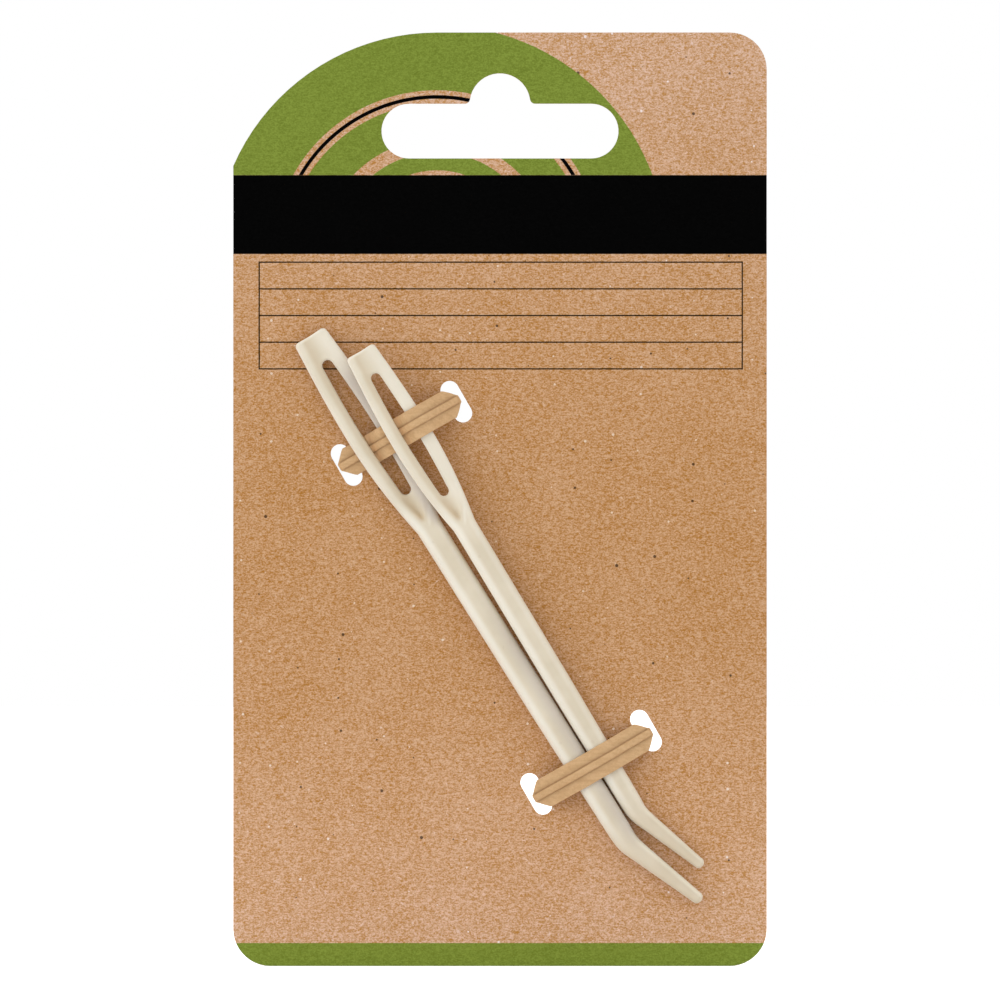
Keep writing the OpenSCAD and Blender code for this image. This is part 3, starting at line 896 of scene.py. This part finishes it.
def paper_half(x, z, ends):
    """The wings fold in on a slant before a slot, and gather behind the card."""
    narrow = RIDGE_W / 2 + SLOT_WING_W
    end = -ends[0] if x < 0 else ends[1]
    if z < FRONT:
        return mix(narrow, GATHERED_W / 2, ramp(-abs(x), -end, -STRAND_R))
    reach = abs(x) + FOLD_HASTE * max(abs(x) - end + TIE_BEND_R, 0)
    return mix(TIE_W / 2, narrow, ramp(reach - end - FOLD_PAST, -FOLD_LEN, 0))


def tail_frames(strand):
    """One strand, 1 or -1, of the tail that both ends of a tie are twisted into."""
    frames = []
    steps = round(TAIL_LEN / TAIL_STEP)
    bend = math.radians(TAIL_BEND_ANGLE)
    for i in range(1, steps + 1):
        share = i / steps
        run = TAIL_LEN * share
        arc = min(run / TAIL_BEND_R, bend)
        rest = max(run - TAIL_BEND_R * bend, 0)
        across = TAIL_BEND_R * (1 - math.cos(arc)) + rest * math.sin(arc)
        down = TAIL_BEND_R * math.sin(arc) + rest * math.cos(arc)
        middle = np.array([0, -across, TAIL_ROOT_Z - down])
        spin = 2 * math.pi * TAIL_TURNS * share
        lift = np.array([0, math.cos(arc), -math.sin(arc)])
        normal = np.array([math.cos(spin), 0, 0]) + lift * math.sin(spin)
        side = np.array([-math.sin(spin), 0, 0]) + lift * math.cos(spin)
        frames.append((middle + normal * STRAND_R * strand, normal * strand, side, TAIL_W / 2))
    return frames


def tie_frames(over):
    """Frames of a whole tie, whose points in front of the card are given."""
    back = -LOW_TIE_Z
    root = TAIL_ROOT_Z - TIE_BEND_R
    ends = over[0][0], over[-1][0]
    points = (
        [(-STRAND_R, root), (-STRAND_R, back), (ends[0], back)]
        + over
        + [(ends[1], back), (STRAND_R, back), (STRAND_R, root)]
    )
    flat = [
        (
            np.array([x, 0, z]),
            np.array([-math.sin(at), 0, math.cos(at)]),
            np.array([0.0, 1.0, 0.0]),
            paper_half(x, z, ends),
        )
        for (x, z), at in bent_path(points)
    ]
    return tail_frames(-1)[::-1] + flat + tail_frames(1)


BAR_PAST = 0.1
SHAFT_REACH = 0.75


def upper_over():
    """The upper tie climbs through the large needle's eye and then through the small one's."""
    cross, small = NEEDLES["large_needle"][0], NEEDLES["small_needle"][0]
    slope = math.tan(math.radians(CLIMB_ANGLE))
    first = (MID_TIE_Z - LOW_TIE_Z) / slope / 2
    second = (TOP_TIE_Z - MID_TIE_Z) / slope / 2
    return [
        (-SLOT_PASS - UPPER_LEFT_REACH, LOW_TIE_Z),
        (cross - first, LOW_TIE_Z), (cross + first, MID_TIE_Z),
        (small - second, MID_TIE_Z), (small + second, TOP_TIE_Z),
        (small + EYE_BODY_W * SMALL_SHARE / 2 + BAR_PAST, TOP_TIE_Z), (SLOT_PASS, LOW_TIE_Z),
    ]


def lower_over():
    """The lower tie passes over both shafts."""
    top = LARGE_Z + SHAFT_T / 2 + NEEDLE_GAP + RIDGE_H
    reach = SHAFT_W * SHAFT_REACH
    return [(-SLOT_PASS, LOW_TIE_Z), (-reach, top), (reach, top), (SLOT_PASS, LOW_TIE_Z)]


# Half of the paper's section on one face: distance from the wire, height as a share of the
# ridge over the wing, and how far the point lies in the painted shade of the crease
RIDGE_POINTS = [
    (0.0, 1.0, 0), (0.14, 0.98, 0), (0.26, 0.92, 0), (0.36, 0.8, 0), (0.43, 0.55, 0.25),
    (0.48, 0.2, 0.8), (0.53, -0.2, 1), (0.6, -0.22, 0.95), (0.68, 0.0, 0.6), (0.78, 0.04, 0.4),
]
# Along each wing: share of the way out, and how far the point lies in the crease's painted shade
WING_SHARES = [(0.15, 0.2), (0.35, 0.06), (0.55, 0), (0.75, 0), (0.9, 0), (0.97, 0), (1.0, 0)]
WING_MARGIN = 0.03
WING_EDGE = 0.45
WING_OPENS = 0.3
OVAL_POWER = 6
OVAL_EDGE = 0.22
# The crease's painted shade on the left side, as a share of that on the right
LEFT_CREASE_SHADE = 0.75
CURL = 0.5


def paper_section(half, wave):
    """The sleeve's section: a rounded ridge, a crease beside it and a thin wing each side.
    Where it is narrowest it is a plain oval."""
    crest = RIDGE_H - WING_T / 2
    start = RIDGE_POINTS[-1][0]
    scale = min(1.0, (half - WING_MARGIN) / start)
    side = [(b * scale, WING_T / 2 + h * crest, t) for b, h, t in RIDGE_POINTS]
    for share, t in WING_SHARES:
        side.append((mix(start * scale, half, share),
                     WING_T / 2 * (1 if share < 1 else WING_EDGE), t))
    narrow = RIDGE_W / 2 + SLOT_WING_W
    open_share = ramp(half, narrow, narrow + WING_OPENS)
    for k, (b, n, t) in enumerate(side):
        turn = math.pi / 2 * k / (len(side) - 1)
        swell = math.sqrt(1 - math.sin(turn) ** OVAL_POWER)
        oval = (half * math.sin(turn), max(RIDGE_H * swell, WING_T * OVAL_EDGE))
        side[k] = (mix(oval[0], b, open_share), mix(oval[1], n, open_share), t * open_share)
    top = [(-b, n, LEFT_CREASE_SHADE * t) for b, n, t in side[::-1][:-1]] + side
    section = top + [(b, -n, t) for b, n, t in top[::-1]]
    curl = CURL * (half / (TIE_W / 2)) ** 2
    return [
        (b, n - curl * wave[0] * max(b, 0) ** 2 - curl * wave[1] * min(b, 0) ** 2, t)
        for b, n, t in section
    ]


def climb_painted_light(at):
    """Painted light: 1 at the shaded foot of a steep climb between the needles, where the paper is
    painted paler, 0 elsewhere.
    """
    middle, normal, _, _ = at
    low, high = (LOW_TIE_Z, MID_TIE_Z) if middle[2] < MID_TIE_Z else (MID_TIE_Z, TOP_TIE_Z)
    share = (middle[2] - low) / (high - low)
    return rise(share, 0, 0.03) * fade(share, 0.2, 0.4) * rise(-normal[0], 0.1, 0.3)


def ring(at, section):
    """A section's points round a frame."""
    middle, normal, side, _ = at
    return [middle + side * b + normal * n for b, n, *_ in section]


def round_section(radius, count=12):
    angles = [2 * math.pi * k / count for k in range(count)]
    return [(radius * math.cos(a), radius * math.sin(a)) for a in angles]


def end_wall(points, outer, inner):
    """Triangles between the end of a tube and the end of the tunnel inside it."""
    def after(i, loop):
        return (i + 1) % len(loop)

    near = []
    for i, a in enumerate(outer):
        middle = (points[a] + points[outer[after(i, outer)]]) / 2
        near.append(int(np.argmin([np.linalg.norm(middle - points[b]) for b in inner])))
    faces = []
    for i, a in enumerate(outer):
        b = outer[after(i, outer)]
        j, last = near[i], near[after(i, outer)]
        faces.append((a, b, inner[j]))
        step = 1 if (last - j) % len(inner) <= len(inner) // 2 else -1
        while j != last:
            following = (j + step) % len(inner)
            faces.append((b, inner[j], inner[following]))
            j = following
    return faces


def swept(rings, hollow=None):
    """Points and faces of a closed tube through rings, with a tunnel inside if it has one."""
    points, faces, tubes = [], [], []
    for loops in (rings, hollow or []):
        tube = []
        for loop in loops:
            tube.append(range(len(points), len(points) + len(loop)))
            points += loop
        for one, two in zip(tube, tube[1:]):
            for j in range(len(one)):
                k = (j + 1) % len(one)
                a, b, c, d = one[j], one[k], two[k], two[j]
                faces.append((a, b, c, d) if loops is rings else (a, d, c, b))
        tubes.append(tube)
    outer, inner = tubes
    if hollow is None:
        return points, faces + [tuple(outer[0]), tuple(outer[-1])[::-1]]
    for end in (0, -1):
        faces += end_wall(points, outer[end], inner[end])
    return points, faces


# The paper waves a little: how much on average, how far that varies, and over how many frames
WAVE = 0.035
WAVE_VARIES = 0.05
WAVE_FRAMES = 9
WAVE_STARTS = 0.5


def tie_pieces(name, centre, shift, over, seed, paper, steel):
    """A tie's paper sleeve and the wire inside it."""
    frames = tie_frames(over)
    rng = np.random.default_rng(seed)
    walk = rng.normal(0, 1, (len(frames) + WAVE_FRAMES - 1, 2))
    soft = np.array([walk[i:i + WAVE_FRAMES].mean(axis=0) for i in range(len(frames))])
    level = np.array([rise(middle[2], TAIL_ROOT_Z, WAVE_STARTS) for middle, *_ in frames])
    waves = (WAVE + WAVE_VARIES * soft) * level[:, None]
    sections = [paper_section(at[3], wave) for at, wave in zip(frames, waves)]
    place = (
        Matrix.Translation((centre[0], centre[1], 0))
        @ Matrix.Rotation(math.radians(TIE_ANGLE), 4, "Z")
        @ Matrix.Translation((0, shift, 0))
    )

    points, faces = swept(
        [ring(at, section) for at, section in zip(frames, sections)],
        [ring(at, round_section(WIRE_D / 2 + WIRE_GAP)) for at in frames],
    )
    # Each point's share of the crease's painted shade
    tones = [t for section in sections for _, _, t in section]
    # Painted light at the shaded foot of each climb, on the upper tie only
    woven = name == "upper_tie"
    climbs = [woven * climb_painted_light(at) for at, section in zip(frames, sections) for _ in section]
    tunnel = [0.0] * (len(points) - len(tones))
    sleeve = mesh_object(name + "_sleeve", in_metres(points, place), faces, paper, TIE_SHARP,
                         tone=tones + tunnel, climb=climbs + tunnel)
    points, faces = swept([ring(at, round_section(WIRE_D / 2)) for at in frames])
    core = mesh_object(name + "_core", in_metres(points, place), faces, steel, TIE_SHARP)
    return sleeve, core


def build_pieces():
    board, paper = card_material(), paper_material()
    plastic, steel = plastic_material(), steel_material()
    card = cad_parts["backing_card"]
    for slot in card.material_slots:
        slot.material = board
    for name in NEEDLES:
        piece = needle_piece(name, plastic)
        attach(piece, name)
        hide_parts(name)
    for name, centre, shift, over, seed in (
        ("upper_tie", UPPER_TIE, UPPER_TIE_SHIFT, upper_over(), 3),
        ("lower_tie", LOWER_TIE, LOWER_TIE_SHIFT, lower_over(), 8),
    ):
        sleeve, core = tie_pieces(name, centre, shift, over, seed, paper, steel)
        for piece, node, slot in ((sleeve, "_paper", "kraft_paper"), (core, "_wire", "tie_wire")):
            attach(piece, "card")
            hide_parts(name + node)


# The camera looks straight on, and its frame is as wide as the photograph's. Places from
# here on are in metres.
VIEW_W = 135.0 * MM
VIEW_MIDDLE = (0.0, 0.0, -53.5 * MM)
CAMERA_AWAY = 1.2

# Each lamp: name, place, width and height, power
LAMPS = (
    ("front_soft", (-0.4, -0.6, 0.3), (0.6, 0.6), 0.5),
    ("left_strip", (-0.5, -0.22, -0.06), (0.1, 0.5), 0.4),
)

# The world's light, and its shares from round about and from straight ahead and behind
AMBIENT = 0.88
AMBIENT_ROUND = 1.5
AMBIENT_AHEAD = 0.5

FLOOR_HALF = 1.5
FLOOR_COLOUR = (0.86, 0.86, 0.86, 1)
FLOOR_GLOW = 0.55


def add_camera():
    data = bpy.data.cameras.new("camera")
    data.sensor_width = 36.0
    data.lens = data.sensor_width * CAMERA_AWAY / VIEW_W
    data.clip_start = 0.01
    camera = bpy.data.objects.new("camera", data)
    camera.location = Vector(VIEW_MIDDLE) + Vector((0, -CAMERA_AWAY, 0))
    camera.rotation_euler = (math.radians(90), 0, 0)
    bpy.context.collection.objects.link(camera)
    bpy.context.scene.camera = camera


def add_lamp(name, place, size, power):
    data = bpy.data.lights.new(name, "AREA")
    data.shape = "RECTANGLE"
    data.size, data.size_y = size
    data.energy = power
    lamp = bpy.data.objects.new(name, data)
    lamp.location = place
    lamp.rotation_euler = (Vector(VIEW_MIDDLE) - lamp.location).to_track_quat("-Z", "Y").to_euler()
    bpy.context.collection.objects.link(lamp)


def add_world():
    """White where it is seen, and otherwise a soft light, weaker from the front and the back."""
    world = bpy.data.worlds.new("studio")
    bpy.context.scene.world = world
    world.use_nodes = True
    n = Nodes(world.node_tree)
    rays = n.node("ShaderNodeLightPath").outputs
    seen = n.most(rays["Is Camera Ray"], rays["Is Glossy Ray"], rays["Is Transmission Ray"])
    ahead = n.math("POWER", n.math("ABSOLUTE", n.split(n.coordinates("Generated"))[1]), 2.0)
    dome = n.map(ahead, 0.0, 1.0, AMBIENT * AMBIENT_ROUND, AMBIENT * AMBIENT_AHEAD, "LINEAR")
    back = world.node_tree.nodes["Background"]
    back.inputs["Color"].default_value = (1, 1, 1, 1)
    n.join(back.inputs["Strength"], n.map(seen, 0.0, 1.0, dome, 1.0, "LINEAR"))


def floor_material():
    """A matt floor that takes shadows and looks white."""
    material = empty_material("pale_floor")
    n = Nodes(material.node_tree)
    matt = n.node("ShaderNodeBsdfDiffuse", {"Color": FLOOR_COLOUR})
    seen = n.node("ShaderNodeLightPath").outputs["Is Camera Ray"]
    glow = n.node("ShaderNodeEmission", {"Strength": n.times(seen, FLOOR_GLOW)})
    both = n.node("ShaderNodeAddShader", {0: matt.outputs[0], 1: glow.outputs[0]})
    n.node("ShaderNodeOutputMaterial", {"Surface": both.outputs[0]})
    return material


def add_floor():
    low = CAD_BOX[0][2]
    corners = [(x * FLOOR_HALF, y * FLOOR_HALF, low)
               for x, y in ((-1, -1), (1, -1), (1, 1), (-1, 1))]
    mesh = bpy.data.meshes.new("floor")
    mesh.from_pydata(corners, [], [(0, 1, 2, 3)])
    mesh.materials.append(floor_material())
    floor = bpy.data.objects.new("floor", mesh)
    bpy.context.collection.objects.link(floor)


def main():
    bpy.context.scene.view_settings.view_transform = "Standard"
    add_camera()
    add_world()
    for lamp in LAMPS:
        add_lamp(*lamp)
    add_floor()
    build_pieces()


main()
